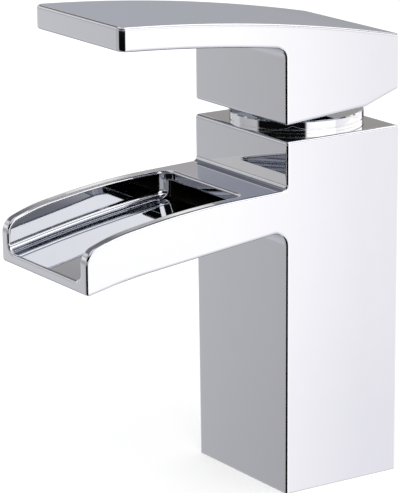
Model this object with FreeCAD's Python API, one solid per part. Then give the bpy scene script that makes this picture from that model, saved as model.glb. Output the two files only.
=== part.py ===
import FreeCAD, Part
import math
import os

# Waterfall basin faucet with a single lever: every separate piece, in millimetres.
# Frame: +Z up, the spout points to -Y, +X is on the user's right.
# Origin: centre of the column's base face.

# ---------------------------------------------------------------- driving dimensions
# Column
column_width = 53.2         # at the top; the sides draw in towards the base
base_width = 51.0
column_depth = 44.0
column_height = 117.0
edge_round = 0.9            # rounding along the castings' side edges
corner_extra = 0.2          # how much softer the outline's own corners are

# Spout, hung from the column's top
spout_reach = 95.8          # from the column's axis to the tip
spout_drop = 15.6           # column top to the spout's top face, at the root
spout_root_depth = 13.2     # height of the spout at its root
top_fall = 1.8              # degrees below level, at the root of the arched top
arch_fall = 9.3             # degrees below level, past the arch
arch_length = 38.8          # arch's middle to the tip
arch_radius = 250.0
nose_fall = 20.0            # degrees below level, on the nose
nose_length = 10.8
nose_radius = 5.5
nose_bend_radius = 60.0
under_fall = 6.5            # degrees, underside
lip_fall = 12.0             # degrees, underside near the tip
lip_length = 15.6
lip_bend_radius = 150.0
top_root_radius = 1.8
under_root_radius = 4.5

# Open trough, and the slot under the land behind it
trough_wall = 4.4
trough_floor_tip = 3.7      # floor thickness at the tip
trough_floor_rear = 5.4     # floor thickness at the rear
trough_crown = 1.3          # how far the floor's bend stands above a straight floor
trough_corner = 4.0
trough_fillet = 3.0
rim_round = 0.8             # rounding of the trough's inner rim
land_length = 13.9
land_thickness = 3.2
slot_width = 41.0
slot_length = 12.0
slot_round = 1.0

# Waterways in the casting
waterway_wall = 1.75
passage_width = 26.0
passage_down = 10.5
passage_up = 7.5
channel_width = 6.0
channel_top = 6.0           # below the cartridge seat
channel_height = 7.0
inlet_x = 7.6
inlet_y = -4.0
outlet_margin = 2.5         # disc left outside the outlet hole
port_radius = 3.0

# Sockets in the base: M10 x 1 for the tails, M8 for the stud
inlet_socket_radius = 4.46
inlet_socket_depth = 12.0
stud_socket_radius = 3.35
stud_socket_depth = 14.0
stud_y = 11.0
socket_chamfer = 0.7

# Base seal
seal_radius = 19.5          # mean radius of the ring
seal_width = 2.4
seal_height = 1.85

# Cartridge, clamped between its seat and the nut
cartridge_radius = 17.3
cartridge_clearance = 0.3
cartridge_height = 20.0     # seat to the housing's shoulder
shoulder_thickness = 2.0
housing_wall = 2.1
neck_bore = 10.3
neck_wall = 2.0
neck_height = 10.0
base_flange = 1.2
base_thickness = 3.0
peg_radius = 1.2
peg_length = 2.0
peg_hole_depth = 2.5
peg_x = 12.5
peg_y = 5.0
sleeve_wall = 1.5
fixed_disc_thickness = 3.0
moving_disc_thickness = 2.5
mixing_depth = 1.4
mixing_wall = 1.7
mixing_edge_gap = 1.2       # sealed strip between inlet holes and mixing hollow, tap off
key_width = 3.8
key_depth = 1.4
key_gap = 0.1
tab_floor = 0.4             # the driving tabs end this far above the sliding faces
carrier_thickness = 4.5
tongue_width = 12.0
tongue_length = 16.0
tongue_height = 2.5
carrier_rim = 1.8           # carrier left outside its seal
carrier_seal_width = 1.5
carrier_seal_height = 1.1
pocket_floor = 1.5          # carrier left under the spindle's tip
pocket_clearance = 0.5
slip_ring_thickness = 0.6
slip_ring_room = 1.3        # round the guide's hub

# Spindle, its guide and its travel
pivot_rise = 7.0            # housing's shoulder to the spindle's pin
square_rise = 2.5           # neck's top to the foot of the spindle's square
square_length = 15.5
square_chamfer = 0.6
spindle_square = 8.0
shank_width = 7.0
shank_depth = 4.4
tip_radius = 3.0
tip_gap = 0.15              # free gap of the spindle's tip in its pocket
pin_radius = 1.5
pin_recess = 0.9            # the pin's ends stay this far inside the guide
lift_degrees = 18.0
swivel_degrees = 50.0
lug_degrees = 18.0
lug_play = 1.0              # degrees left free at the ends of the lug's travel
lug_height = 1.9
lug_below_neck = 0.4
rear_angle = 90.0           # degrees from +X to the lug's middle, at the rear
limit_ring_width = 1.2
boss_wall = 2.0             # brass left under the pin
slide_gap = 0.3             # free gap between faces that move past each other
running_gap = 0.05          # radial gap of a shaft in its bore
pin_gap = 0.01              # radial gap of the pin where it is pressed in
fit_gap = 0.05              # gap of a piece that is pushed into its seat
easy_gap = 0.2              # gap around a piece that is dropped into place

# Nut and collar
nut_step = 0.8              # the nut's thread is this much wider than the chamber
nut_thread_length = 5.0
nut_head_height = 2.4
nut_notches = 6
notch_width = 4.0
notch_depth = 0.6
collar_chamfer = 0.4
collar_top_thickness = 1.4
collar_skirt = 2.5          # wall round the nut
collar_room = 1.2           # between the nut's head and the skirt, filled by the seal
collar_line_height = 1.0    # fine turned line round the collar's foot
collar_line_width = 0.4
collar_line_depth = 0.35
collar_seal_height = 1.4
collar_seal_seat = 1.0

# Handle
handle_width = 52.2
handle_gap = 5.0            # column top to the block's lower front edge
block_fall = 4.55           # degrees: the block's underside rises to the rear
relief_start = 13.0         # from the rear face, where the underside turns up
relief_fall = 19.2          # degrees: clears the collar when the lever is up
lever_reach = 82.0          # from the column's axis to the lever's tip
lever_tip_height = 42.8     # column top to the lever's upper edge, at the tip
lever_rear_height = 29.7    # the same at the rear
lever_crown = 2.2           # bow of the upper face above its chord
lever_thickness = 7.7
lever_tip_corner = 2.8
lever_root_radius = 3.5
handle_cavity_room = 2.7    # round the cartridge's neck
handle_cavity_rise = 6.0    # above the neck
bush_size = 14.0
bush_roof = 1.0             # bush above the spindle's top
screw_radius = 3.0
screw_rise = 9.5            # foot of the spindle's square to the screw's axis
screw_length = 11.0
screw_socket = 3.0          # across flats
screw_socket_depth = 4.0
plug_radius = 4.0
plug_depth = 4.5
plug_dome = 0.6

# ---------------------------------------------------------------- derived places
half_width = column_width / 2
base_half = base_width / 2
handle_half = handle_width / 2
half_depth = column_depth / 2
corner_round = edge_round + corner_extra
shoulder = column_height - nut_thread_length
seat = shoulder - cartridge_height
chamber_radius = cartridge_radius + cartridge_clearance
nut_radius = chamber_radius + nut_step
neck_radius = neck_bore + neck_wall
handle_cavity_radius = neck_radius + handle_cavity_room
pivot = shoulder + pivot_rise
housing_bore = cartridge_radius - housing_wall
disc_radius = housing_bore - easy_gap
outlet_y = disc_radius - port_radius - outlet_margin
disc_floor = seat + base_thickness
disc_joint = disc_floor + fixed_disc_thickness
carrier_floor = disc_joint + moving_disc_thickness
tongue_floor = carrier_floor + carrier_thickness
tongue_top = tongue_floor + tongue_height
tip_height = carrier_floor + pocket_floor + pocket_clearance + tip_radius
spindle_arm = pivot - tip_height
ceiling = shoulder - shoulder_thickness
neck_top = shoulder + neck_height
square_floor = neck_top + square_rise
square_top = square_floor + square_length
screw_height = square_floor + screw_rise
cavity_top = neck_top + handle_cavity_rise
bush_top = square_top + bush_roof
lug_top = neck_top - lug_below_neck
lug_floor = lug_top - lug_height
guide_radius = neck_bore - easy_gap
lug_radius = guide_radius + limit_ring_width
pin_length = 2 * (guide_radius - pin_recess)
travel = spindle_arm * math.sin(math.radians(lift_degrees))
disc_y = travel / 2
moving_disc_radius = disc_radius - disc_y
carrier_seal_radius = moving_disc_radius - carrier_rim - carrier_seal_width
spout_tip = -spout_reach
trough_rear = -half_depth - land_length
nut_head_radius = nut_radius - easy_gap
nut_top = column_height + nut_head_height
collar_height = nut_head_height + easy_gap + collar_top_thickness
seal_floor = column_height + (nut_head_height - collar_seal_height) / 2
collar_bore = nut_head_radius + collar_room
collar_radius = collar_bore + collar_skirt

OVERCUT = 1.0               # how far a cutter passes the face that it opens
OVERLAP = 1.0               # how deep two forms run into each other before they are joined
X_AXIS = FreeCAD.Vector(1, 0, 0)
Y_AXIS = FreeCAD.Vector(0, 1, 0)
Z_AXIS = FreeCAD.Vector(0, 0, 1)


# ---------------------------------------------------------------- helpers
def vec(x, y, z):
    return FreeCAD.Vector(x, y, z)


def fall(length, degrees):
    """Drop of a slope over a length."""
    return length * math.tan(math.radians(degrees))


def block(x_low, x_high, y_low, y_high, low, high):
    return Part.makeBox(x_high - x_low, y_high - y_low, high - low, vec(x_low, y_low, low))


def rod(radius, low, high, x=0.0, y=0.0):
    return Part.makeCylinder(radius, high - low, vec(x, y, low), Z_AXIS)


def ring(outer, inner, low, high, x=0.0, y=0.0):
    return rod(outer, low, high, x, y).cut(rod(inner, low - OVERCUT, high + OVERCUT, x, y))


def union(pieces):
    whole = pieces[0].fuse(pieces[1:]) if len(pieces) > 1 else pieces[0]
    return whole.removeSplitter()


def outline_edges(corners):
    """Closed line through (y, z, radius) corners, each rounded by its own radius."""
    count = len(corners)
    stops = []
    for index, (y, z, radius) in enumerate(corners):
        here = vec(0, y, z)
        before = vec(0, *corners[index - 1][:2]) - here
        after = vec(0, *corners[(index + 1) % count][:2]) - here
        half = before.getAngle(after) / 2
        if radius == 0 or half > math.pi / 2 - 1e-6:
            stops.append((here, None, here))
            continue
        before.normalize()
        after.normalize()
        run = radius / math.tan(half)
        middle = (before + after).normalize() * (radius / math.sin(half) - radius)
        stops.append((here + before * run, here + middle, here + after * run))
    edges = []
    for index, (start, middle, end) in enumerate(stops):
        if middle is not None:
            edges.append(Part.Arc(start, middle, end).toShape())
        following = stops[(index + 1) % count][0]
        if end.distanceToPoint(following) > 1e-6:
            edges.append(Part.LineSegment(end, following).toShape())
    return edges


def side_prism(corners, half):
    """Solid with a side outline of (y, z, radius) corners, from -half to +half in X."""
    face = Part.Face(Part.Wire(outline_edges(corners)))
    face.translate(vec(-half, 0, 0))
    return face.extrude(vec(2 * half, 0, 0))


def soften(shape, radius, wanted):
    """Round the edges that a test on each edge picks."""
    return shape.makeFillet(radius, [edge for edge in shape.Edges if wanted(edge)])


def at(value, target):
    return abs(value - target) < 1e-4


def on_handle_side(edge):
    """Whether an edge lies in one of the handle's two side faces."""
    box = edge.BoundBox
    return at(box.XLength, 0) and at(abs(box.XMin), handle_half)


def side_half(height):
    """Half of the casting's width at a height."""
    return base_half + (half_width - base_half) * height / column_height


def on_casting_side(edge):
    """Whether an edge lies in one of the casting's two side faces, which lean a little."""
    on_faces = all(at(abs(end.X), side_half(end.Z)) for end in edge.Vertexes)
    return on_faces and edge.BoundBox.XLength < base_half


def along_x(edge):
    box = edge.BoundBox
    return box.YLength < 1e-4 and box.ZLength < 1e-4


def upright(edge):
    box = edge.BoundBox
    return box.XLength < 1e-4 and box.YLength < 1e-4


# ---------------------------------------------------------------- body casting
def spout_tops():
    """Heights of the spout's upper outline: root, arch, nose bend and tip."""
    root = column_height - spout_drop
    arch = root - fall(spout_reach - arch_length - half_depth, top_fall)
    bend = arch - fall(arch_length - nose_length, arch_fall)
    return root, arch, bend, bend - fall(nose_length, nose_fall)


def spout_unders():
    """Heights of the spout's underside: root, lip bend and tip."""
    root = column_height - spout_drop - spout_root_depth
    bend = root - fall(spout_reach - lip_length - half_depth, under_fall)
    return root, bend, bend - fall(lip_length, lip_fall)


def casting_shell():
    """Outside of column and spout: one side outline between two slightly leaning sides."""
    root_top, arch_top, bend_top, tip_top = spout_tops()
    root_under, bend_under, tip_under = spout_unders()
    outline = side_prism([
        (half_depth, 0, 0),
        (half_depth, column_height, corner_round),
        (-half_depth, column_height, corner_round),
        (-half_depth, root_top, top_root_radius),
        (spout_tip + arch_length, arch_top, arch_radius),
        (spout_tip + nose_length, bend_top, nose_bend_radius),
        (spout_tip, tip_top, nose_radius),
        (spout_tip, tip_under, corner_round),
        (spout_tip + lip_length, bend_under, lip_bend_radius),
        (-half_depth, root_under, under_root_radius),
        (-half_depth, 0, 0),
    ], column_width)
    shell = outline.common(leaning_sides())
    return soften(shell, edge_round, lambda edge: on_casting_side(edge) and edge.BoundBox.ZMax > OVERCUT)


def leaning_sides():
    """Block between the casting's two side faces, as deep as column and spout."""
    low, high = -OVERCUT, column_height + OVERCUT
    low_half, high_half = side_half(low), side_half(high)
    corners = [(-low_half, low), (low_half, low), (high_half, high), (-high_half, high)]
    points = [vec(x, spout_tip - OVERCUT, z) for x, z in corners + corners[:1]]
    return Part.Face(Part.makePolygon(points)).extrude(vec(0, spout_reach + half_depth + 2 * OVERCUT, 0))


def trough_floor():
    """Floor heights at the rear and at the bend, the bend's place, and the two slopes."""
    root_under, bend_under, tip_under = spout_unders()
    rear = root_under - fall(land_length, under_fall) + trough_floor_rear
    tip = tip_under + trough_floor_tip
    bend_y = (spout_tip + trough_rear) / 2
    bend = (rear + tip) / 2 + trough_crown
    half = (trough_rear - spout_tip) / 2
    return rear, bend, bend_y, (bend - tip) / half, (rear - bend) / half


def trough_cut():
    """Open channel from the tip back to the land, with a gently arched floor."""
    rear, bend, bend_y, tip_slope, rear_slope = trough_floor()
    half = trough_rear - bend_y
    turn = math.atan(tip_slope) - math.atan(rear_slope)
    bend_radius = 0.8 * half / math.tan(turn / 2)
    start = spout_tip - OVERCUT
    roof = column_height
    cut = side_prism([
        (start, bend - (bend_y - start) * tip_slope, 0),
        (bend_y, bend, bend_radius),
        (trough_rear, rear, 0),
        (trough_rear, roof, 0),
        (start, roof, 0),
    ], half_width - trough_wall)
    cut = soften(cut, trough_corner, lambda edge: upright(edge) and at(edge.BoundBox.YMin, trough_rear))
    return soften(cut, trough_fillet, lambda edge: in_floor_corner(edge, rear))


def in_floor_corner(edge, rear):
    """Whether an edge of the trough's cutter runs between its floor and its walls."""
    box = edge.BoundBox
    across = along_x(edge) and box.XLength > 2 * trough_wall and not at(box.YMin, trough_rear)
    return box.ZMax < rear + trough_crown and box.YMax > spout_tip and not across


def on_rear_rim(edge):
    """Whether an edge is the trough's rim above its rear wall; the rest of the rim runs on from it."""
    box = edge.BoundBox
    return along_x(edge) and at(box.YMin, trough_rear) and box.ZMin > trough_floor()[0] + trough_fillet


def slot_cut():
    """Low wide slot that brings the water out under the land."""
    rear, bend, bend_y, tip_slope, rear_slope = trough_floor()
    roof = column_height - spout_drop - fall(land_length, top_fall) - land_thickness
    front = trough_rear - trough_fillet - OVERCUT
    end = trough_rear + slot_length
    return side_prism([
        (front, rear + (front - trough_rear) * rear_slope, 0),
        (end, rear + slot_length * rear_slope, slot_round),
        (end, roof + fall(slot_length, top_fall), slot_round),
        (front, roof - fall(trough_rear - front, top_fall), 0),
    ], slot_width / 2)


def passage_cut():
    """Slanted passage from below the cartridge, between chamber and spout root, to the slot."""
    chamber_edge = vec(0, -chamber_radius, seat)
    under = spout_unders()[0]
    slope = math.radians(under_fall)
    root_drop = under_root_radius * (1 + math.sin(slope)) / math.cos(slope)
    root_centre = vec(0, -half_depth - under_root_radius, under - root_drop)
    across = chamber_edge - root_centre
    web = across.Length - under_root_radius
    across.normalize()
    along = vec(0, -across.z, across.y)
    middle = root_centre + across * (under_root_radius + web / 2)
    side = across * (web / 2 - waterway_wall)
    down = middle - along * passage_down
    up = middle + along * passage_up
    corners = [down - side, down + side, up + side, up - side]
    return side_prism([(point.y, point.z, 0) for point in corners], passage_width / 2)


def waterway_cuts():
    """Inlets, outlet and the core under the cartridge that joins outlet and passage."""
    high = seat - channel_top
    low = high - channel_height
    gap = waterway_wall
    front = -chamber_radius + gap
    cuts = [rod(port_radius, 0, seat + OVERCUT, x, inlet_y) for x in (-inlet_x, inlet_x)]
    cuts.append(rod(port_radius, low, seat + OVERCUT, 0, outlet_y))
    cuts.append(block(-channel_width / 2, channel_width / 2, front + OVERLAP, outlet_y, low, high))
    pocket_rear = inlet_y - port_radius - gap
    cuts.append(block(-passage_width / 2, passage_width / 2, front, pocket_rear, low, high))
    cuts.append(passage_cut())
    return cuts


def socket(radius, depth, x, y):
    """Blind threaded socket in the base, with a countersunk mouth."""
    mouth = Part.makeCone(radius + socket_chamfer, radius, socket_chamfer, vec(x, y, 0), Z_AXIS)
    return rod(radius, -OVERCUT, depth, x, y).fuse(mouth)


def chamber_cuts():
    """Cartridge chamber, nut thread and the two peg holes in the seat."""
    thread = nut_radius + fit_gap
    cuts = [
        rod(chamber_radius, seat, column_height + OVERCUT),
        rod(thread, shoulder - OVERCUT, column_height + OVERCUT),
    ]
    for x in (-peg_x, peg_x):
        cuts.append(rod(peg_radius + fit_gap, seat - peg_hole_depth, seat + OVERCUT, x, peg_y))
    return cuts


def body_casting():
    groove = ring(seal_radius + seal_width / 2 + fit_gap, seal_radius - seal_width / 2 - fit_gap,
                  -OVERCUT, seal_height)
    cuts = [slot_cut(), groove, socket(stud_socket_radius, stud_socket_depth, 0, stud_y)]
    for x in (-inlet_x, inlet_x):
        cuts.append(socket(inlet_socket_radius, inlet_socket_depth, x, inlet_y))
    casting = soften(casting_shell().cut(trough_cut()), rim_round, on_rear_rim)
    return casting.cut(cuts + waterway_cuts() + chamber_cuts())


def base_seal():
    return ring(seal_radius + seal_width / 2, seal_radius - seal_width / 2, 0, seal_height)


# ---------------------------------------------------------------- cartridge
def port_places():
    return [(-inlet_x, inlet_y), (inlet_x, inlet_y), (0, outlet_y)]


def cartridge_base():
    """Plate with a flange, three sleeve holes and two locating pegs."""
    flange = rod(cartridge_radius - fit_gap, seat, seat + base_flange)
    spigot = rod(housing_bore - fit_gap, seat, disc_floor)
    pegs = [rod(peg_radius, seat - peg_length, seat + OVERLAP, x, peg_y) for x in (-peg_x, peg_x)]
    plate = union([flange, spigot] + pegs)
    hole = port_radius + sleeve_wall + fit_gap
    return plate.cut([rod(hole, seat - OVERCUT, disc_floor + OVERCUT, x, y) for x, y in port_places()])


def port_seals():
    outer = port_radius + sleeve_wall
    return Part.makeCompound([ring(outer, port_radius, seat, disc_floor, x, y) for x, y in port_places()])


def fixed_disc():
    """Lapped disc with two inlet holes, a wide outlet hole and two key notches."""
    disc = rod(disc_radius, disc_floor, disc_joint)
    holes = [rod(port_radius, disc_floor - OVERCUT, disc_joint + OVERCUT, x, y) for x, y in port_places()]
    return disc.cut(holes + housing_keys(key_gap, OVERCUT))


def housing_keys(gap, past):
    """Two keys in the housing's bore that hold the fixed disc: the gap widens them for its notches."""
    inner = housing_bore - key_depth - gap
    half = key_width / 2 + gap
    keys = []
    for sign in (-1, 1):
        x_low, x_high = sorted((sign * inner, sign * (housing_bore + key_depth / 2)))
        keys.append(block(x_low, x_high, -half, half, disc_floor - past, disc_joint + past))
    return keys


def moving_disc():
    """Disc that slides and turns on the fixed one, with a mixing hollow underneath."""
    disc = rod(moving_disc_radius, disc_joint, carrier_floor, 0, disc_y)
    hollow_radius = moving_disc_radius - mixing_wall
    hollow = rod(hollow_radius, disc_joint - OVERCUT, disc_joint + mixing_depth, 0, disc_y)
    edge = inlet_y + port_radius + mixing_edge_gap
    front = block(-cartridge_radius, cartridge_radius, -cartridge_radius, edge,
                  disc_joint - 2 * OVERCUT, carrier_floor)
    return disc.cut(hollow.cut(front)).cut(driving_tabs(key_gap))


def driving_tabs(gap):
    """Two tabs at the disc's rim by which the carrier drives it."""
    inner = moving_disc_radius - key_depth - gap
    outer = moving_disc_radius + gap
    half = key_width / 2 + gap
    low = disc_joint + tab_floor - gap
    high = carrier_floor + OVERLAP
    tabs = []
    for sign in (-1, 1):
        x_low, x_high = sorted((sign * inner, sign * outer))
        tab = block(x_low, x_high, disc_y - half, disc_y + half, low, high)
        tabs.append(tab.common(rod(outer, low, high, 0, disc_y)))
    return tabs


def disc_carrier():
    """Slider on the moving disc: tongue above, pocket for the spindle's tip."""
    body = rod(moving_disc_radius, carrier_floor, tongue_floor, 0, disc_y)
    tongue = block(-tongue_width / 2, tongue_width / 2, disc_y - tongue_length / 2,
                   disc_y + tongue_length / 2, tongue_floor - OVERLAP, tongue_top)
    carrier = union([body, tongue] + driving_tabs(0))
    tip_half = tip_radius + tip_gap
    width = shank_width / 2 + easy_gap
    pocket = block(-width, width, -tip_half, tip_half, carrier_floor + pocket_floor, tongue_top + OVERCUT)
    groove = ring(carrier_seal_radius + carrier_seal_width + fit_gap, carrier_seal_radius - fit_gap,
                  carrier_floor - OVERCUT, carrier_floor + carrier_seal_height, 0, disc_y)
    return carrier.cut([pocket, groove])


def carrier_seal():
    return ring(carrier_seal_radius + carrier_seal_width, carrier_seal_radius,
                carrier_floor, carrier_floor + carrier_seal_height, 0, disc_y)


def cartridge_housing():
    """Shell over the discs: shoulder for the nut, neck with a seat for the limit ring."""
    low = seat + base_flange
    body = union([rod(cartridge_radius, low, shoulder), rod(neck_radius, shoulder - OVERLAP, neck_top)])
    shell = body.cut([
        rod(housing_bore, low - OVERCUT, ceiling),
        rod(neck_bore, ceiling - OVERCUT, neck_top + OVERCUT),
        rod(lug_radius + tip_gap, lug_floor - key_gap, neck_top + OVERCUT),
    ])
    return union([shell] + housing_keys(0, 0))


def slip_ring():
    return ring(disc_radius, guide_radius + slip_ring_room, ceiling - slip_ring_thickness, ceiling)


def sector(radius, start, sweep, low, high):
    """Pie-shaped solid; the angles are in degrees from +X."""
    wedge = Part.makeCylinder(radius, high - low, vec(0, 0, low), Z_AXIS, sweep)
    wedge.rotate(vec(0, 0, 0), Z_AXIS, start)
    return wedge


def limit_ring():
    """Open ring whose two ends stop the guide's lug at full hot and full cold."""
    opening = 2 * swivel_degrees + lug_degrees + lug_play
    low = lug_floor - key_gap
    whole = ring(lug_radius + key_gap, guide_radius + key_gap, low, lug_top)
    gap = sector(cartridge_radius, rear_angle - opening / 2, opening, low - OVERCUT, lug_top + OVERCUT)
    return whole.cut(gap)


def guide_opening():
    """Room for the spindle between its lowest and highest tilt: half width, front and rear."""
    lean = (lug_top - pivot) * math.sin(math.radians(lift_degrees))
    front = travel + tip_radius + slide_gap
    rear = lean + shank_width / 2 + 2 * slide_gap
    return shank_width / 2 + easy_gap, front, rear


def spindle_guide():
    """Turning piece: flange in the housing, hub and lug in the neck, slot for the spindle."""
    floor = tongue_floor + slide_gap
    flange_top = ceiling - slip_ring_thickness - key_gap
    flange = rod(disc_radius - easy_gap, floor, flange_top)
    hub = rod(guide_radius, floor, lug_top)
    lug = sector(lug_radius, rear_angle - lug_degrees / 2, lug_degrees, lug_floor, lug_top)
    half, front, rear = guide_opening()
    channel = tongue_width / 2 + key_gap
    reach = 2 * cartridge_radius
    cuts = [
        block(-channel, channel, -reach, reach, floor - OVERCUT, tongue_top + slide_gap),
        block(-half, half, -front, rear, floor - OVERCUT, lug_top + OVERCUT),
        cross_rod(pin_radius + pin_gap, pin_length + 2 * easy_gap),
    ]
    return union([flange, hub, lug]).cut(cuts)


def cross_rod(radius, length):
    """Cylinder through the pivot, along X."""
    return Part.makeCylinder(radius, length, vec(-length / 2, 0, pivot), X_AXIS)


def spindle():
    """Lever of the cartridge: square above the pin, flat shank and rounded tip below."""
    side = shank_width / 2
    half = spindle_square / 2
    shank = block(-side, side, -shank_depth / 2, shank_depth / 2, tip_height, pivot)
    boss = block(-side, side, -side, side, pivot - pin_radius - boss_wall, square_floor + OVERLAP)
    square = block(-half, half, -half, half, square_floor, square_top)
    foot = Part.makeCylinder(tip_radius, shank_width, vec(-side, 0, tip_height), X_AXIS)
    lever = union([shank, boss, square, foot])
    lever = lever.cut(cross_rod(pin_radius + running_gap, spindle_square))
    top_edges = [edge for edge in lever.Edges if at(edge.BoundBox.ZMin, square_top)]
    return lever.makeChamfer(square_chamfer, top_edges)


def spindle_pin():
    return cross_rod(pin_radius, pin_length)


# ---------------------------------------------------------------- nut and collar
def cartridge_nut():
    """Ring nut on the cartridge's shoulder, with spanner notches and a groove for the collar seal."""
    thread = rod(nut_radius, shoulder, column_height)
    head = rod(nut_head_radius, column_height - OVERLAP, nut_top)
    cuts = [
        rod(neck_radius + slide_gap, shoulder - OVERCUT, nut_top + OVERCUT),
        ring(nut_radius, nut_head_radius - collar_seal_seat, seal_floor, seal_floor + collar_seal_height),
    ]
    for index in range(nut_notches):
        notch = block(neck_radius, nut_radius, -notch_width / 2, notch_width / 2,
                      nut_top - notch_depth, nut_top + OVERCUT)
        notch.rotate(vec(0, 0, 0), Z_AXIS, index * 360 / nut_notches)
        cuts.append(notch)
    return union([thread, head]).cut(cuts)


def collar_seal():
    inner = nut_head_radius - collar_seal_seat
    return ring(collar_bore - fit_gap, inner + fit_gap, seal_floor, seal_floor + collar_seal_height)


def collar():
    """Round ring that hides the nut, with a fine turned line round its foot."""
    top = column_height + collar_height
    cap = rod(collar_radius, column_height, top)
    cap = cap.makeChamfer(collar_chamfer, [edge for edge in cap.Edges if at(edge.BoundBox.ZMin, top)])
    line_low = column_height + collar_line_height
    line_bottom = collar_radius - collar_line_depth
    return cap.cut([
        rod(collar_bore, column_height - OVERCUT, top - collar_top_thickness),
        rod(neck_radius + pocket_clearance, column_height, top + OVERCUT),
        ring(collar_radius + OVERCUT, line_bottom, line_low, line_low + collar_line_width),
    ])


# ---------------------------------------------------------------- handle
def lever_arc():
    """Centre and radius of the lever's bowed upper face, seen from the side."""
    tip = vec(0, -lever_reach, column_height + lever_tip_height)
    rear = vec(0, half_depth, column_height + lever_rear_height)
    chord = rear - tip
    radius = chord.Length ** 2 / (8 * lever_crown) + lever_crown / 2
    down = vec(0, chord.z, -chord.y).normalize()
    centre = (tip + rear) * 0.5 + down * (radius - lever_crown)
    return centre, radius


def arc_height(centre, radius, y):
    return centre.z + math.sqrt(radius ** 2 - (y - centre.y) ** 2)


def arc_edge(centre, radius, y_start, y_end):
    """Arc of the lever's upper or lower face between two places along Y."""
    stops = (y_start, (y_start + y_end) / 2, y_end)
    return Part.Arc(*[vec(0, y, arc_height(centre, radius, y)) for y in stops]).toShape()


def handle_shell():
    """Outside of block and lever: one side outline across the whole width."""
    centre, upper = lever_arc()
    lower = upper - lever_thickness
    tip = -lever_reach
    bottom = column_height + handle_gap
    turn_y = half_depth - relief_start
    turn_z = bottom + fall(turn_y + half_depth, block_fall)
    rear_z = turn_z + fall(relief_start, relief_fall)
    corners = [
        vec(0, -half_depth, arc_height(centre, lower, -half_depth)),
        vec(0, -half_depth, bottom),
        vec(0, turn_y, turn_z),
        vec(0, half_depth, rear_z),
        vec(0, half_depth, arc_height(centre, upper, half_depth)),
    ]
    edges = [arc_edge(centre, lower, tip, -half_depth)]
    edges += [Part.LineSegment(a, b).toShape() for a, b in zip(corners, corners[1:])]
    edges.append(arc_edge(centre, upper, half_depth, tip))
    tip_low = vec(0, tip, arc_height(centre, lower, tip))
    tip_high = vec(0, tip, arc_height(centre, upper, tip))
    edges.append(Part.LineSegment(tip_high, tip_low).toShape())
    face = Part.Face(Part.Wire(edges))
    face.translate(vec(-handle_half, 0, 0))
    shell = face.extrude(vec(handle_width, 0, 0))
    root_z = corners[0].z
    shell = soften(shell, lever_root_radius, lambda edge: along_x(edge) and at(edge.BoundBox.ZMin, root_z))
    shell = soften(shell, lever_tip_corner, lambda edge: upright(edge) and at(edge.BoundBox.YMin, tip))
    return soften(shell, edge_round, is_crease)


def is_crease(edge):
    """Whether two faces meet at an angle along an edge."""
    if along_x(edge):
        return not at(edge.BoundBox.YMin, half_depth - relief_start) and is_end_edge(edge)
    box = edge.BoundBox
    if at(box.YMax, -lever_reach) or (box.YMin < -lever_reach + lever_tip_corner and box.XLength > 0.1):
        return box.ZLength < lever_thickness / 2
    return on_handle_side(edge) and not is_tip_seam(edge)


def is_end_edge(edge):
    """Edges across the width that are sharp: the tip's two, the block's lower and upper ones."""
    y = edge.BoundBox.YMin
    on_block_foot = at(y, -half_depth) and edge.BoundBox.ZMin < bottom_limit()
    return at(y, half_depth) or at(y, -lever_reach) or on_block_foot


def bottom_limit():
    return column_height + handle_gap + 1


def is_tip_seam(edge):
    box = edge.BoundBox
    return upright(edge) and at(box.YMin, -lever_reach + lever_tip_corner)


def rear_hole(radius, y_start, y_end):
    """Round hole or peg along Y at the height of the grub screw."""
    return Part.makeCylinder(radius, y_end - y_start, vec(0, y_start, screw_height), Y_AXIS)


def handle():
    """Lever and block in one casting, with room for the neck and a socket for the bush."""
    half = bush_size / 2 + fit_gap
    return handle_shell().cut([
        rod(handle_cavity_radius, column_height, cavity_top),
        block(-half, half, -half, half, cavity_top - OVERCUT, bush_top),
        rear_hole(screw_radius + fit_gap, 0, half_depth + OVERCUT),
        rear_hole(plug_radius + fit_gap, half_depth - plug_depth, half_depth + OVERCUT),
    ])


def handle_bush():
    """Square sleeve between the spindle and the handle, holed for the grub screw."""
    half = bush_size / 2
    inner = spindle_square / 2 + fit_gap
    sleeve = block(-half, half, -half, half, cavity_top, bush_top)
    return sleeve.cut([
        block(-inner, inner, -inner, inner, cavity_top - OVERCUT, square_top + fit_gap),
        rear_hole(screw_radius + easy_gap, 0, half_depth),
    ])


def hexagon(flats, y_start, y_end):
    """Hexagonal peg along Y at the height of the grub screw."""
    corner = flats / math.sqrt(3)
    points = []
    for index in range(7):
        angle = math.radians(60 * index)
        points.append(vec(corner * math.cos(angle), y_start, screw_height + corner * math.sin(angle)))
    return Part.Face(Part.makePolygon(points)).extrude(vec(0, y_end - y_start, 0))


def grub_screw():
    """Screw on the spindle's rear flat, with a hexagon socket towards the rear."""
    start = spindle_square / 2
    end = start + screw_length
    key_socket = hexagon(screw_socket, end - screw_socket_depth, end + OVERCUT)
    return rear_hole(screw_radius, start, end).cut(key_socket)


def indice_plug():
    """Plug over the screw's hole, with a low domed face."""
    start = half_depth - plug_depth
    radius = (plug_radius ** 2 + plug_dome ** 2) / (2 * plug_dome)
    ball = Part.makeSphere(radius, vec(0, half_depth + plug_dome - radius, screw_height))
    return rear_hole(plug_radius, start, half_depth + plug_dome).common(ball.fuse(
        rear_hole(plug_radius, start, half_depth)))


# ---------------------------------------------------------------- export
PIECES = [
    body_casting, base_seal, cartridge_base, port_seals, fixed_disc, moving_disc, disc_carrier,
    carrier_seal, cartridge_housing, slip_ring, spindle_guide, limit_ring, spindle, spindle_pin,
    cartridge_nut, collar_seal, collar, handle, handle_bush, grub_screw, indice_plug,
]


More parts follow.
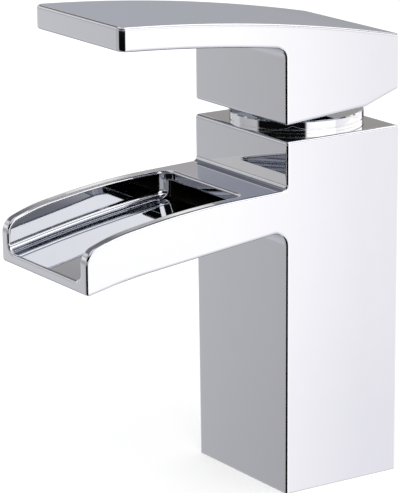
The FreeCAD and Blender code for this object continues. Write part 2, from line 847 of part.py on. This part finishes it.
def main():
    os.makedirs("parts", exist_ok=True)
    for piece in PIECES:
        shape = piece()
        name = piece.__name__
        if not shape.isValid() or not shape.Solids:
            raise ValueError(name + " is not a valid solid")
        shape.exportStep("parts/" + name + ".step")
        print(name, len(shape.Solids), "solids", round(shape.Volume / 1000, 2), "cm3")


main()
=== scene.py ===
import math

import bpy
from mathutils import Matrix, Vector


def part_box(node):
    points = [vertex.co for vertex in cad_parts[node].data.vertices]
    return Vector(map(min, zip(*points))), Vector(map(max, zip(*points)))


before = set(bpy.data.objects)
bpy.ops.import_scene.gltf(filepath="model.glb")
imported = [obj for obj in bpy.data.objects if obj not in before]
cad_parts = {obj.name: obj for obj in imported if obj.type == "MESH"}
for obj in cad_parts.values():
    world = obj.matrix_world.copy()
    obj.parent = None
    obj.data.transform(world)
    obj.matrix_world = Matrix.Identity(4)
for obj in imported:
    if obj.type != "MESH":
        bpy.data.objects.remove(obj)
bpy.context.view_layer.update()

MM = 0.001                      # one millimetre in Blender's metres

# ---------------------------------------------------------------- view of the faucet
CAMERA_AZIMUTH = 57.036         # degrees from straight in front, towards +X
CAMERA_ELEVATION = 14.786
CAMERA_ROLL = -0.609
CAMERA_DISTANCE = 924.34 * MM
AIM = Vector((-17.25, -26.60, 74.52)) * MM
LENS = 205.19                   # mm on a 36 mm sensor

# ---------------------------------------------------------------- studio round the faucet
WHITE = "#FFFFFF"
BLACK = "#000000"
CHROME_DARK = "#C8CBD1"         # what chromium sends back of white light, a little blue
CHROME_LIGHT = "#C9CCD2"
FLOOR_PAINT = "#F4F4F4"
FLOOR_SIZE = 6.0                # metres
FLOOR_GLOW = 0.35               # share of white that the floor shows the camera without any light
ROOM_LIGHT = 0.8                # plain light from all round, on plastics and rubber
KEY_LIGHT = 14.0                # watts
KEY_SIZE = 1.2                  # metres
KEY_PLACE = Vector((1.6, -1.0, 2.0))

# The tables below go by degrees: round from straight in front, towards +X, and up from the horizon
HALF_TURN = 180
QUARTER_TURN = 90

# What the chrome reflects round the horizon
HORIZON = [
    (-180, "#EEEDF0"),
    (-156, "#EEEDF0"),
    (-150, "#8E9096"),
    (-120, "#A2A4AC"),
    (-90, "#B6B7BC"),
    (-62, "#BFC0C5"),
    (-59.5, "#B7B8BD"),
    (-57, "#AEAFB3"),
    (-55.2, "#A5A5AA"),
    (-48, "#A6A6AA"),
    (-16, "#B0B0B4"),
    (20, "#7C7E84"),
    (60, "#B4B5BA"),
    (74, "#F4F4F8"),
    (90, "#FFFFFF"),
    (123.4, "#FDFDFE"),
    (125.1, "#F5F4F8"),
    (127, "#E6E5EB"),
    (131, "#E6E5EB"),
    (150, "#EEEDF0"),
    (180, "#EEEDF0"),
]

# A black card stands in front, and level with the faucet it leaves a gap. White is where it covers.
CARD_BLACK = "#09090A"
CARD_SIDES = [(-16, BLACK), (-11, WHITE), (70, WHITE), (74, BLACK)]
CARD_RISE = [(-10, WHITE), (-7, BLACK), (6, BLACK), (9, WHITE), (32, WHITE), (38, BLACK)]

# How light these fields are by height: this colour times theirs, times LIGHTEST
LIGHTEST = 2.0
TONE = [
    (-90, "#A4A5A8"),
    (-40, "#AAABAE"),
    (-28, "#B2B2B5"),
    (-19, "#B8B8BA"),
    (-17, "#BCBCBD"),
    (-15, "#BEBEBF"),
    (-10, "#BFBFBF"),
    (-6, "#AAAAAD"),
    (2, "#AAAAAD"),
    (5, "#DEDCD6"),
    (13.3, "#EEEBE4"),
    (15.2, "#ABADB4"),
    (19.5, "#ABADB4"),
    (21.5, "#C8C7C9"),
    (26.8, "#C6C5C7"),
    (28, "#6A6C72"),
    (36, "#6A6C72"),
    (42, "#E0E0E4"),
    (60, "#E0E0E4"),
    (90, "#B0B2B6"),
]

# What the chrome reflects behind the faucet, by height, and between which sides
REAR = [
    (-90, "#77788A"),
    (-20, "#3A3E48"),
    (-8.5, "#3A3E48"),
    (-5, "#81858D"),
    (-1, "#8B8E97"),
    (7, "#9396A1"),
    (11, "#95979E"),
    (12.3, "#888584"),
    (13.6, "#868485"),
    (15, "#98979D"),
    (17.0, "#A4A3A6"),
    (18.2, "#CAC9CA"),
    (19.8, "#DEDDDD"),
    (21.4, "#DAD9D9"),
    (22.3, "#A4A4A8"),
    (26, "#909094"),
    (29, "#646469"),
    (40, "#808086"),
    (90, "#D8D8DC"),
]
REAR_SIDES = [(-155, BLACK), (-149, WHITE), (-100, WHITE), (-94, BLACK)]

# ---------------------------------------------------------------- places inside the castings, in mm
PLATING_EDGE = 0.6              # the plating ends this far inside an opening
NUT_DEPTH = 4.6                 # the chamber is plated from this far above the nut's foot to its mouth
WELL_RADIUS = 15.05             # of the handle's well, round the cartridge's neck
SLOT_LOW = Vector((-21.0, -35.8, 91.8))
SLOT_HIGH = Vector((21.0, -10.0, 98.9))
FACED_SKIN = 0.05               # the column's underside is faced this far up
FACED_MARGIN = 1.0              # and this far past its outline

# ---------------------------------------------------------------- surfaces, in general
NOISE_LOW = 0.3                 # nearly all of a noise lies between these two
NOISE_HIGH = 0.7
WAVE_PERIOD = math.tau / 20     # a wave texture of scale 1 repeats after this length
SMALL_EDGE = 0.15               # mm over which the edges of small pieces turn
EDGE_SAMPLES = 4                # for the soft edges of small pieces


# ---------------------------------------------------------------- helpers
def linear(colour):
    """Linear RGBA of an sRGB hex colour, by the curve that the sRGB standard gives."""
    channels = [int(colour[place:place + 2], 16) / 255 for place in (1, 3, 5)]
    return [c / 12.92 if c <= 0.04045 else ((c + 0.055) / 1.055) ** 2.4 for c in channels] + [1.0]


def add(tree, kind, inputs=None, **settings):
    """Adds a node: settings are its own properties, inputs are values or sockets by name or number."""
    node = tree.nodes.new(kind)
    for name, value in settings.items():
        setattr(node, name, value)
    for name, value in (inputs or {}).items():
        if isinstance(value, bpy.types.NodeSocket):
            tree.links.new(value, node.inputs[name])
        else:
            node.inputs[name].default_value = value
    return node


def fill_ramp(node, stops, low=0.0, high=1.0):
    """Gives a colour ramp its stops: (place between low and high, hex colour)."""
    elements = node.color_ramp.elements
    while len(elements) > 1:
        elements.remove(elements[-1])
    for place, colour in stops:
        share = (place - low) / (high - low)
        element = elements[0] if place == stops[0][0] else elements.new(share)
        element.position = share
        element.color = linear(colour)


def per_metre(millimetres):
    """Noise scale for a pattern of this size."""
    return 1 / (millimetres * MM)


def lines_per_metre(millimetres):
    """Wave scale for lines this far apart."""
    return WAVE_PERIOD / (millimetres * MM)


# ---------------------------------------------------------------- camera
def build_camera():
    """Camera at the photograph's viewing angle."""
    azimuth = math.radians(CAMERA_AZIMUTH)
    elevation = math.radians(CAMERA_ELEVATION)
    roll = math.radians(CAMERA_ROLL)
    back = Vector((math.sin(azimuth) * math.cos(elevation),
                   -math.cos(azimuth) * math.cos(elevation),
                   math.sin(elevation)))
    level = Vector((math.cos(azimuth), math.sin(azimuth), 0))
    upright = back.cross(level)
    right = level * math.cos(roll) + upright * math.sin(roll)
    up = upright * math.cos(roll) - level * math.sin(roll)
    lens = bpy.data.cameras.new("studio_camera")
    lens.lens = LENS
    camera = bpy.data.objects.new("studio_camera", lens)
    bpy.context.scene.collection.objects.link(camera)
    turn = Matrix((right, up, back)).transposed().to_4x4()
    camera.matrix_world = Matrix.Translation(AIM + back * CAMERA_DISTANCE) @ turn
    bpy.context.scene.camera = camera


# ---------------------------------------------------------------- studio
def table_places(tree):
    """Where a direction lies on the tables, from 0 to 1: round the horizon, and up from below."""
    direction = add(tree, "ShaderNodeTexCoord").outputs["Generated"]
    part = add(tree, "ShaderNodeSeparateXYZ", {0: direction})
    front = add(tree, "ShaderNodeMath", {0: part.outputs["Y"], 1: -1.0}, operation="MULTIPLY")
    turn = add(tree, "ShaderNodeMath", {0: part.outputs["X"], 1: front.outputs[0]}, operation="ARCTAN2")
    rise = add(tree, "ShaderNodeMath", {0: part.outputs["Z"]}, operation="ARCSINE")
    sides = add(tree, "ShaderNodeMapRange",
                {"Value": turn.outputs[0], "From Min": -math.pi, "From Max": math.pi})
    heights = add(tree, "ShaderNodeMapRange",
                  {"Value": rise.outputs[0], "From Min": -math.pi / 2, "From Max": math.pi / 2})
    return sides.outputs[0], heights.outputs[0]


def studio_fields(tree):
    """The soft fields of white, grey and black that the chrome reflects."""
    sides, heights = table_places(tree)
    horizon = add(tree, "ShaderNodeValToRGB", {0: sides})
    fill_ramp(horizon, HORIZON, -HALF_TURN, HALF_TURN)

    card_sides = add(tree, "ShaderNodeValToRGB", {0: sides})
    fill_ramp(card_sides, CARD_SIDES, -HALF_TURN, HALF_TURN)
    card_rise = add(tree, "ShaderNodeValToRGB", {0: heights})
    fill_ramp(card_rise, CARD_RISE, -QUARTER_TURN, QUARTER_TURN)
    card = add(tree, "ShaderNodeMath",
               {0: card_sides.outputs[0], 1: card_rise.outputs[0]}, operation="MULTIPLY")
    carded = add(tree, "ShaderNodeMix",
                 {0: card.outputs[0], 6: horizon.outputs[0], 7: linear(CARD_BLACK)}, data_type="RGBA")

    tone = add(tree, "ShaderNodeValToRGB", {0: heights})
    fill_ramp(tone, TONE, -QUARTER_TURN, QUARTER_TURN)
    toned = add(tree, "ShaderNodeVectorMath",
                {0: carded.outputs[2], 1: tone.outputs[0]}, operation="MULTIPLY")
    lightened = add(tree, "ShaderNodeVectorMath",
                    {0: toned.outputs[0], "Scale": LIGHTEST}, operation="SCALE")

    rear = add(tree, "ShaderNodeValToRGB", {0: heights})
    fill_ramp(rear, REAR, -QUARTER_TURN, QUARTER_TURN)
    rear_sides = add(tree, "ShaderNodeValToRGB", {0: sides})
    fill_ramp(rear_sides, REAR_SIDES, -HALF_TURN, HALF_TURN)
    fields = add(tree, "ShaderNodeMix",
                 {0: rear_sides.outputs[0], 6: lightened.outputs[0], 7: rear.outputs[0]}, data_type="RGBA")

    # Chromium keeps back a part of the light: the fields are raised by it, to show in the plate as written
    gain = [1 / share for share in linear(CHROME_LIGHT)[:3]]
    raised = add(tree, "ShaderNodeVectorMath", {0: fields.outputs[2], 1: gain}, operation="MULTIPLY")
    return raised.outputs[0]


def build_room():
    """White room for the eye, soft fields for the chrome, plain light for everything else."""
    world = bpy.data.worlds.new("studio_room")
    world.use_nodes = True
    tree = world.node_tree
    tree.nodes.clear()
    ray = add(tree, "ShaderNodeLightPath")
    chrome_view = add(tree, "ShaderNodeBackground", {"Color": studio_fields(tree)})
    soft_light = add(tree, "ShaderNodeBackground", {"Color": linear(WHITE), "Strength": ROOM_LIGHT})
    eye_view = add(tree, "ShaderNodeBackground", {"Color": linear(WHITE)})
    lit = add(tree, "ShaderNodeMixShader",
              {0: ray.outputs["Is Glossy Ray"], 1: soft_light.outputs[0], 2: chrome_view.outputs[0]})
    eye = add(tree, "ShaderNodeMath",
              {0: ray.outputs["Is Camera Ray"], 1: ray.outputs["Is Transmission Ray"]}, operation="MAXIMUM")
    seen = add(tree, "ShaderNodeMixShader", {0: eye.outputs[0], 1: lit.outputs[0], 2: eye_view.outputs[0]})
    add(tree, "ShaderNodeOutputWorld", {0: seen.outputs[0]})
    bpy.context.scene.world = world


def build_floor():
    """Matt white floor that keeps a faint shadow."""
    half = FLOOR_SIZE / 2
    corners = [(-half, -half, 0), (half, -half, 0), (half, half, 0), (-half, half, 0)]
    mesh = bpy.data.meshes.new("studio_floor")
    mesh.from_pydata(corners, [], [(0, 1, 2, 3)])
    floor = bpy.data.objects.new("studio_floor", mesh)
    bpy.context.scene.collection.objects.link(floor)
    floor.visible_glossy = False
    paint = bpy.data.materials.new("matt_floor_paint")
    paint.use_nodes = True
    tree = paint.node_tree
    tree.nodes.clear()
    ray = add(tree, "ShaderNodeLightPath")
    matt = add(tree, "ShaderNodeBsdfDiffuse", {"Color": linear(FLOOR_PAINT)})
    glow = add(tree, "ShaderNodeMath", {0: ray.outputs["Is Camera Ray"], 1: FLOOR_GLOW}, operation="MULTIPLY")
    light = add(tree, "ShaderNodeEmission", {"Color": linear(WHITE), "Strength": glow.outputs[0]})
    both = add(tree, "ShaderNodeAddShader", {0: matt.outputs[0], 1: light.outputs[0]})
    add(tree, "ShaderNodeOutputMaterial", {0: both.outputs[0]})
    mesh.materials.append(paint)


def build_lamp():
    """One large soft lamp from the right, above."""
    lamp = bpy.data.lights.new("soft_lamp", "AREA")
    lamp.energy = KEY_LIGHT
    lamp.size = KEY_SIZE
    holder = bpy.data.objects.new("soft_lamp", lamp)
    holder.location = KEY_PLACE
    holder.rotation_euler = (AIM - KEY_PLACE).to_track_quat("-Z", "Y").to_euler()
    holder.visible_glossy = False
    bpy.context.scene.collection.objects.link(holder)


# ---------------------------------------------------------------- any material
def new_material(name):
    """Empty material with its shader and the piece's own coordinates."""
    material = bpy.data.materials.new(name)
    material.use_nodes = True
    tree = material.node_tree
    tree.nodes.clear()
    place = add(tree, "ShaderNodeTexCoord").outputs["Object"]
    shader = add(tree, "ShaderNodeBsdfPrincipled")
    add(tree, "ShaderNodeOutputMaterial", {0: shader.outputs[0]})
    return material, tree, place, shader


def finish_surface(tree, shader, colour, roughness, normal):
    """Joins the worked-out colour, roughness and normal to the shader."""
    tree.links.new(colour, shader.inputs["Base Color"])
    tree.links.new(roughness, shader.inputs["Roughness"])
    tree.links.new(normal, shader.inputs["Normal"])


def inside_box(tree, place, low, high):
    """1 inside a box in millimetres of the piece's own coordinates, 0 outside."""
    middle = (low + high) / 2 * MM
    half = (high - low) / 2 * MM
    offset = add(tree, "ShaderNodeVectorMath", {0: place, 1: middle}, operation="SUBTRACT")
    reach = add(tree, "ShaderNodeVectorMath", {0: offset.outputs[0]}, operation="ABSOLUTE")
    spare = add(tree, "ShaderNodeVectorMath", {0: half, 1: reach.outputs[0]}, operation="SUBTRACT")
    part = add(tree, "ShaderNodeSeparateXYZ", {0: spare.outputs[0]})
    least = add(tree, "ShaderNodeMath", {0: part.outputs["X"], 1: part.outputs["Y"]}, operation="MINIMUM")
    least = add(tree, "ShaderNodeMath", {0: least.outputs[0], 1: part.outputs["Z"]}, operation="MINIMUM")
    return add(tree, "ShaderNodeMath", {0: least.outputs[0], 1: 0.0}, operation="GREATER_THAN").outputs[0]


def inside_round(tree, place, radius, low, high):
    """1 inside an upright cylinder on the piece's own axis, in millimetres, 0 outside."""
    part = add(tree, "ShaderNodeSeparateXYZ", {0: place})
    flat = add(tree, "ShaderNodeCombineXYZ", {"X": part.outputs["X"], "Y": part.outputs["Y"]})
    reach = add(tree, "ShaderNodeVectorMath", {0: flat.outputs[0]}, operation="LENGTH")
    near = add(tree, "ShaderNodeMath", {0: reach.outputs["Value"], 1: radius * MM}, operation="LESS_THAN")
    above = add(tree, "ShaderNodeMath", {0: part.outputs["Z"], 1: low * MM}, operation="GREATER_THAN")
    below = add(tree, "ShaderNodeMath", {0: part.outputs["Z"], 1: high * MM}, operation="LESS_THAN")
    between = add(tree, "ShaderNodeMath", {0: above.outputs[0], 1: below.outputs[0]}, operation="MULTIPLY")
    inside = add(tree, "ShaderNodeMath", {0: near.outputs[0], 1: between.outputs[0]}, operation="MULTIPLY")
    return inside.outputs[0]


# ---------------------------------------------------------------- chrome on cast and turned brass
POLISH_CLOUD = 6.0              # mm, clouds of haze that hand polishing leaves
POLISH_SMOOTH = 0.012
POLISH_ROUGH = 0.03
CASTING_EDGE = 0.6              # mm over which a casting's edges turn
CASTING_SAMPLES = 8
SAND_GRAIN = 0.9                # mm, of the raw casting, drawn coarser than real so that it shows
SAND_DEPTH = 0.05               # mm
SAND_LOW = 0.35                 # between these two the colour of the unplated casting, with its painted shade, changes
SAND_HIGH = 0.65
# Unplated cast metal inside the chamber, slot and well: dull, and drawn near black as painted shade
UNPLATED_SHADE_DARK = "#2B2926"
UNPLATED_SHADE_LIGHT = "#45413A"
RAW_ROUGHNESS = 0.55
MILL_SPACING = 0.5              # mm between cutter marks, drawn coarser than real so that they show
MILL_WANDER = 0.4
MILL_ROUGHNESS = 0.3
MILLED_DARK = "#B8955A"
MILLED_LIGHT = "#C9A86C"
RING_SPACING = 0.8              # mm between rings of haze, drawn coarser than real so that they show
RING_WANDER = 0.3
RING_SMOOTH = 0.02
RING_ROUGH = 0.035
COLLAR_EDGE = 0.08              # mm
COLLAR_SAMPLES = 6


def cast_chrome(name, chamber, slot=None, faced=None):
    """Polished chrome plate on cast brass: a mirror with the faint haze of hand polishing.
    In the round chamber and the slot the plating gives way to dull metal as it was cast, painted dark there
    as shade.
    The faced box shows the yellow brass that the cutter has laid bare.
    The chamber is a radius and two heights, slot and faced are two corners each, in millimetres."""
    material, tree, place, shader = new_material(name)
    haze = add(tree, "ShaderNodeTexNoise", {"Vector": place, "Scale": per_metre(POLISH_CLOUD), "Detail": 3.0})
    tint = add(tree, "ShaderNodeValToRGB", {0: haze.outputs["Fac"]})
    fill_ramp(tint, [(NOISE_LOW, CHROME_DARK), (NOISE_HIGH, CHROME_LIGHT)])
    gloss = add(tree, "ShaderNodeMapRange",
                {"Value": haze.outputs["Fac"], "From Min": NOISE_LOW, "From Max": NOISE_HIGH,
                 "To Min": POLISH_SMOOTH, "To Max": POLISH_ROUGH})

    sand = add(tree, "ShaderNodeTexNoise", {"Vector": place, "Scale": per_metre(SAND_GRAIN), "Detail": 4.0})
    # Colour of the unplated casting, darkened as painted shade for the hollows
    unplated_shade = add(tree, "ShaderNodeValToRGB", {0: sand.outputs["Fac"]})
    fill_ramp(unplated_shade, [(SAND_LOW, UNPLATED_SHADE_DARK), (SAND_HIGH, UNPLATED_SHADE_LIGHT)])
    unplated_shade_mask = inside_round(tree, place, *chamber)
    if slot:
        box = inside_box(tree, place, *slot)
        unplated_shade_mask = add(tree, "ShaderNodeMath", {0: unplated_shade_mask, 1: box}, operation="MAXIMUM").outputs[0]
    # Inside the hollows the chrome gives way to the unplated casting and its painted shade
    colour = add(tree, "ShaderNodeMix",
                 {0: unplated_shade_mask, 6: tint.outputs[0], 7: unplated_shade.outputs[0]}, data_type="RGBA").outputs[2]
    rough = add(tree, "ShaderNodeMapRange",
                {"Value": unplated_shade_mask, "To Min": gloss.outputs[0], "To Max": RAW_ROUGHNESS}).outputs[0]

    if faced:
        mill = add(tree, "ShaderNodeTexWave",
                   {"Vector": place, "Scale": lines_per_metre(MILL_SPACING), "Distortion": MILL_WANDER},
                   wave_type="RINGS", rings_direction="Z")
        brass = add(tree, "ShaderNodeValToRGB", {0: mill.outputs["Fac"]})
        fill_ramp(brass, [(0.0, MILLED_DARK), (1.0, MILLED_LIGHT)])
        bare = inside_box(tree, place, *faced)
        colour = add(tree, "ShaderNodeMix",
                     {0: bare, 6: colour, 7: brass.outputs[0]}, data_type="RGBA").outputs[2]
        rough = add(tree, "ShaderNodeMapRange",
                    {"Value": bare, "To Min": rough, "To Max": MILL_ROUGHNESS}).outputs[0]

    edge = add(tree, "ShaderNodeBevel", {"Radius": CASTING_EDGE * MM}, samples=CASTING_SAMPLES)
    grit = add(tree, "ShaderNodeMath", {0: sand.outputs["Fac"], 1: unplated_shade_mask}, operation="MULTIPLY")
    bump = add(tree, "ShaderNodeBump",
               {"Height": grit.outputs[0], "Distance": SAND_DEPTH * MM, "Normal": edge.outputs[0]})
    finish_surface(tree, shader, colour, rough, bump.outputs[0])
    shader.inputs["Metallic"].default_value = 1.0
    return material


def column_chrome():
    """The body casting: as cast, with painted shade, inside its cartridge chamber and slot, and faced under
    its foot.
    """
    nut_low, nut_high = [Vector(corner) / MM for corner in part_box("cartridge_nut")]
    base_low, base_high = [Vector(corner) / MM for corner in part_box("body_casting")]
    faced_low = base_low - Vector((FACED_MARGIN, FACED_MARGIN, FACED_MARGIN))
    faced_high = Vector((base_high.x + FACED_MARGIN, base_high.y + FACED_MARGIN, FACED_SKIN))
    return cast_chrome("polished_chrome_on_cast_brass",
                       chamber=(nut_high.x + PLATING_EDGE, PLATING_EDGE, nut_low.z + NUT_DEPTH),
                       slot=(SLOT_LOW, SLOT_HIGH),
                       faced=(faced_low, faced_high))


def handle_chrome():
    """The handle: as cast, with painted shade, inside its well, round the cartridge's neck."""
    bush_high = Vector(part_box("handle_bush")[1]) / MM
    housing_high = Vector(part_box("cartridge_housing")[1]) / MM
    return cast_chrome("polished_chrome_on_cast_handle",
                       chamber=(WELL_RADIUS, housing_high.z, bush_high.z + PLATING_EDGE))


def turned_chrome():
    """Chrome plate on turned brass: a mirror whose haze runs in rings round the collar."""
    material, tree, place, shader = new_material("turned_chrome_plate")
    rings = add(tree, "ShaderNodeTexWave",
                {"Vector": place, "Scale": lines_per_metre(RING_SPACING), "Distortion": RING_WANDER},
                wave_type="BANDS", bands_direction="Z")
    tint = add(tree, "ShaderNodeValToRGB", {0: rings.outputs["Fac"]})
    fill_ramp(tint, [(0.0, CHROME_DARK), (1.0, CHROME_LIGHT)])
    rough = add(tree, "ShaderNodeMapRange",
                {"Value": rings.outputs["Fac"], "To Min": RING_SMOOTH, "To Max": RING_ROUGH})
    edge = add(tree, "ShaderNodeBevel", {"Radius": COLLAR_EDGE * MM}, samples=COLLAR_SAMPLES)
    finish_surface(tree, shader, tint.outputs[0], rough.outputs[0], edge.outputs[0])
    shader.inputs["Metallic"].default_value = 1.0
    return material


# ---------------------------------------------------------------- moulded rubber and plastics
MOULD_CLOUD = 7.0               # mm, faint clouds in the colour
MOULD_SPREAD = 0.12             # how much less rough than the rest the smoothest spots are
NITRILE_IOR = 1.52
NYLON_IOR = 1.53
ACETAL_IOR = 1.48


def moulded(name, dark, light, grain, roughest, depth, ior):
    """Moulded plastic or rubber: an even colour, clouded a little, with the fine grain of its mould.
    The grain is in millimetres, as its depth is, and drawn coarser than real so that it shows."""
    material, tree, place, shader = new_material(name)
    cloud = add(tree, "ShaderNodeTexNoise", {"Vector": place, "Scale": per_metre(MOULD_CLOUD), "Detail": 2.0})
    colour = add(tree, "ShaderNodeValToRGB", {0: cloud.outputs["Fac"]})
    fill_ramp(colour, [(NOISE_LOW, dark), (NOISE_HIGH, light)])
    skin = add(tree, "ShaderNodeTexNoise", {"Vector": place, "Scale": per_metre(grain), "Detail": 3.0})
    rough = add(tree, "ShaderNodeMapRange",
                {"Value": skin.outputs["Fac"], "From Min": NOISE_LOW, "From Max": NOISE_HIGH,
                 "To Min": roughest - MOULD_SPREAD, "To Max": roughest})
    edge = add(tree, "ShaderNodeBevel", {"Radius": SMALL_EDGE * MM}, samples=EDGE_SAMPLES)
    bump = add(tree, "ShaderNodeBump",
               {"Height": skin.outputs["Fac"], "Distance": depth * MM, "Normal": edge.outputs[0]})
    finish_surface(tree, shader, colour.outputs[0], rough.outputs[0], bump.outputs[0])
    shader.inputs["IOR"].default_value = ior
    return material


def black_rubber():
    """Moulded nitrile rubber: nearly black, with a dull sheen."""
    return moulded("moulded_nitrile_rubber", "#161617", "#222224",
                   grain=0.4, roughest=0.72, depth=0.01, ior=NITRILE_IOR)


def black_nylon():
    """Moulded glass-filled nylon: black, a little grey where the glass comes to the surface."""
    return moulded("moulded_black_nylon", "#1B1C1E", "#2A2B2E",
                   grain=0.6, roughest=0.5, depth=0.008, ior=NYLON_IOR)


def grey_nylon():
    """Moulded nylon in mid grey, half matt."""
    return moulded("moulded_grey_nylon", "#8B8D90", "#9A9CA0",
                   grain=0.6, roughest=0.46, depth=0.008, ior=NYLON_IOR)


def white_acetal():
    """Moulded acetal: milky white with a waxy gloss."""
    return moulded("moulded_white_acetal", "#DEDED9", "#EAEAE6",
                   grain=0.9, roughest=0.36, depth=0.005, ior=ACETAL_IOR)


def red_acetal():
    """Moulded acetal in signal red with a waxy gloss."""
    return moulded("moulded_red_acetal", "#A81C18", "#BC2620",
                   grain=0.9, roughest=0.36, depth=0.005, ior=ACETAL_IOR)


# ---------------------------------------------------------------- ceramic discs
CERAMIC_CLOUD = 1.5             # mm
LAPPING_MARKS = 0.5             # mm, drawn coarser than real so that they show
LAPPED_SMOOTH = 0.1
LAPPED_ROUGH = 0.2
ALUMINA_IOR = 1.76


def lapped_ceramic():
    """Sintered alumina, lapped flat: ivory white, with a cold even gloss and very fine lapping marks."""
    material, tree, place, shader = new_material("lapped_alumina")
    cloud = add(tree, "ShaderNodeTexNoise",
                {"Vector": place, "Scale": per_metre(CERAMIC_CLOUD), "Detail": 4.0})
    colour = add(tree, "ShaderNodeValToRGB", {0: cloud.outputs["Fac"]})
    fill_ramp(colour, [(NOISE_LOW, "#E9E5D9"), (NOISE_HIGH, "#F3F0E6")])
    marks = add(tree, "ShaderNodeTexNoise",
                {"Vector": place, "Scale": per_metre(LAPPING_MARKS), "Detail": 2.0})
    rough = add(tree, "ShaderNodeMapRange",
                {"Value": marks.outputs["Fac"], "To Min": LAPPED_SMOOTH, "To Max": LAPPED_ROUGH})
    edge = add(tree, "ShaderNodeBevel", {"Radius": SMALL_EDGE * MM}, samples=EDGE_SAMPLES)
    finish_surface(tree, shader, colour.outputs[0], rough.outputs[0], edge.outputs[0])
    shader.inputs["IOR"].default_value = ALUMINA_IOR
    return material


# ---------------------------------------------------------------- bare metal
STAIN_CLOUD = 5.0               # mm, faint clouds on bare metal
TOOL_WANDER = 0.6
TOOL_DEPTH = 0.004              # mm


def machined(name, dark, light, spacing, smooth, roughest):
    """Bare machined metal: tool lines round the upright axis that catch the light.
    Their spacing is in millimetres, and drawn coarser than real so that they show."""
    material, tree, place, shader = new_material(name)
    lines = add(tree, "ShaderNodeTexWave",
                {"Vector": place, "Scale": lines_per_metre(spacing),
                 "Distortion": TOOL_WANDER, "Detail": 1.0},
                wave_type="RINGS", rings_direction="Z")
    stain = add(tree, "ShaderNodeTexNoise", {"Vector": place, "Scale": per_metre(STAIN_CLOUD), "Detail": 3.0})
    colour = add(tree, "ShaderNodeValToRGB", {0: stain.outputs["Fac"]})
    fill_ramp(colour, [(NOISE_LOW, dark), (NOISE_HIGH, light)])
    rough = add(tree, "ShaderNodeMapRange",
                {"Value": lines.outputs["Fac"], "To Min": smooth, "To Max": roughest})
    edge = add(tree, "ShaderNodeBevel", {"Radius": SMALL_EDGE * MM}, samples=EDGE_SAMPLES)
    bump = add(tree, "ShaderNodeBump",
               {"Height": lines.outputs["Fac"], "Distance": TOOL_DEPTH * MM, "Normal": edge.outputs[0]})
    finish_surface(tree, shader, colour.outputs[0], rough.outputs[0], bump.outputs[0])
    shader.inputs["Metallic"].default_value = 1.0
    return material


def machined_brass():
    """Free-cutting brass, turned and left bare: warm yellow with fine tool lines."""
    return machined("machined_brass", "#BF9A54", "#D2B06C", spacing=0.5, smooth=0.2, roughest=0.34)


def bright_steel():
    """Drawn and ground stainless steel: light grey, nearly a mirror."""
    return machined("ground_stainless_steel", "#B4B6B8", "#C6C8CA", spacing=0.4, smooth=0.16, roughest=0.26)


# ---------------------------------------------------------------- plug on the handle's rear
ACRYLIC_CLOUD = 3.0             # mm
ACRYLIC_SMOOTH = 0.08
ACRYLIC_ROUGH = 0.16
ACRYLIC_IOR = 1.49
PLUG_EDGE = 0.2                 # mm


def plug_plastic():
    """Moulded acrylic with a high gloss: red half on the hot side, blue half on the cold side."""
    material, tree, place, shader = new_material("gloss_acrylic_red_and_blue")
    cloud = add(tree, "ShaderNodeTexNoise",
                {"Vector": place, "Scale": per_metre(ACRYLIC_CLOUD), "Detail": 2.0})
    hot = add(tree, "ShaderNodeValToRGB", {0: cloud.outputs["Fac"]})
    fill_ramp(hot, [(NOISE_LOW, "#B3201C"), (NOISE_HIGH, "#C42A24")])
    cold = add(tree, "ShaderNodeValToRGB", {0: cloud.outputs["Fac"]})
    fill_ramp(cold, [(NOISE_LOW, "#1F4E9E"), (NOISE_HIGH, "#2A5CB0")])
    part = add(tree, "ShaderNodeSeparateXYZ", {0: place})
    side = add(tree, "ShaderNodeMath", {0: part.outputs["X"], 1: 0.0}, operation="GREATER_THAN")
    colour = add(tree, "ShaderNodeMix",
                 {0: side.outputs[0], 6: hot.outputs[0], 7: cold.outputs[0]}, data_type="RGBA")
    rough = add(tree, "ShaderNodeMapRange",
                {"Value": cloud.outputs["Fac"], "To Min": ACRYLIC_SMOOTH, "To Max": ACRYLIC_ROUGH})
    edge = add(tree, "ShaderNodeBevel", {"Radius": PLUG_EDGE * MM}, samples=EDGE_SAMPLES)
    finish_surface(tree, shader, colour.outputs[2], rough.outputs[0], edge.outputs[0])
    shader.inputs["IOR"].default_value = ACRYLIC_IOR
    return material


# ---------------------------------------------------------------- which piece has which finish
def dress():
    """Gives every piece its finish."""
    finishes = {
        column_chrome: ["body_casting"],
        handle_chrome: ["handle"],
        turned_chrome: ["collar"],
        black_rubber: ["base_seal", "port_seals", "carrier_seal", "collar_seal"],
        black_nylon: ["cartridge_base", "disc_carrier"],
        grey_nylon: ["cartridge_housing"],
        white_acetal: ["slip_ring", "spindle_guide", "handle_bush"],
        red_acetal: ["limit_ring"],
        lapped_ceramic: ["fixed_disc", "moving_disc"],
        machined_brass: ["spindle", "cartridge_nut"],
        bright_steel: ["spindle_pin", "grub_screw"],
        plug_plastic: ["indice_plug"],
    }
    for finish, names in finishes.items():
        material = finish()
        for name in names:
            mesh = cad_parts[name].data
            mesh.materials.clear()
            mesh.materials.append(material)


bpy.context.scene.view_settings.view_transform = "Standard"
build_camera()
build_room()
build_floor()
build_lamp()
dress()
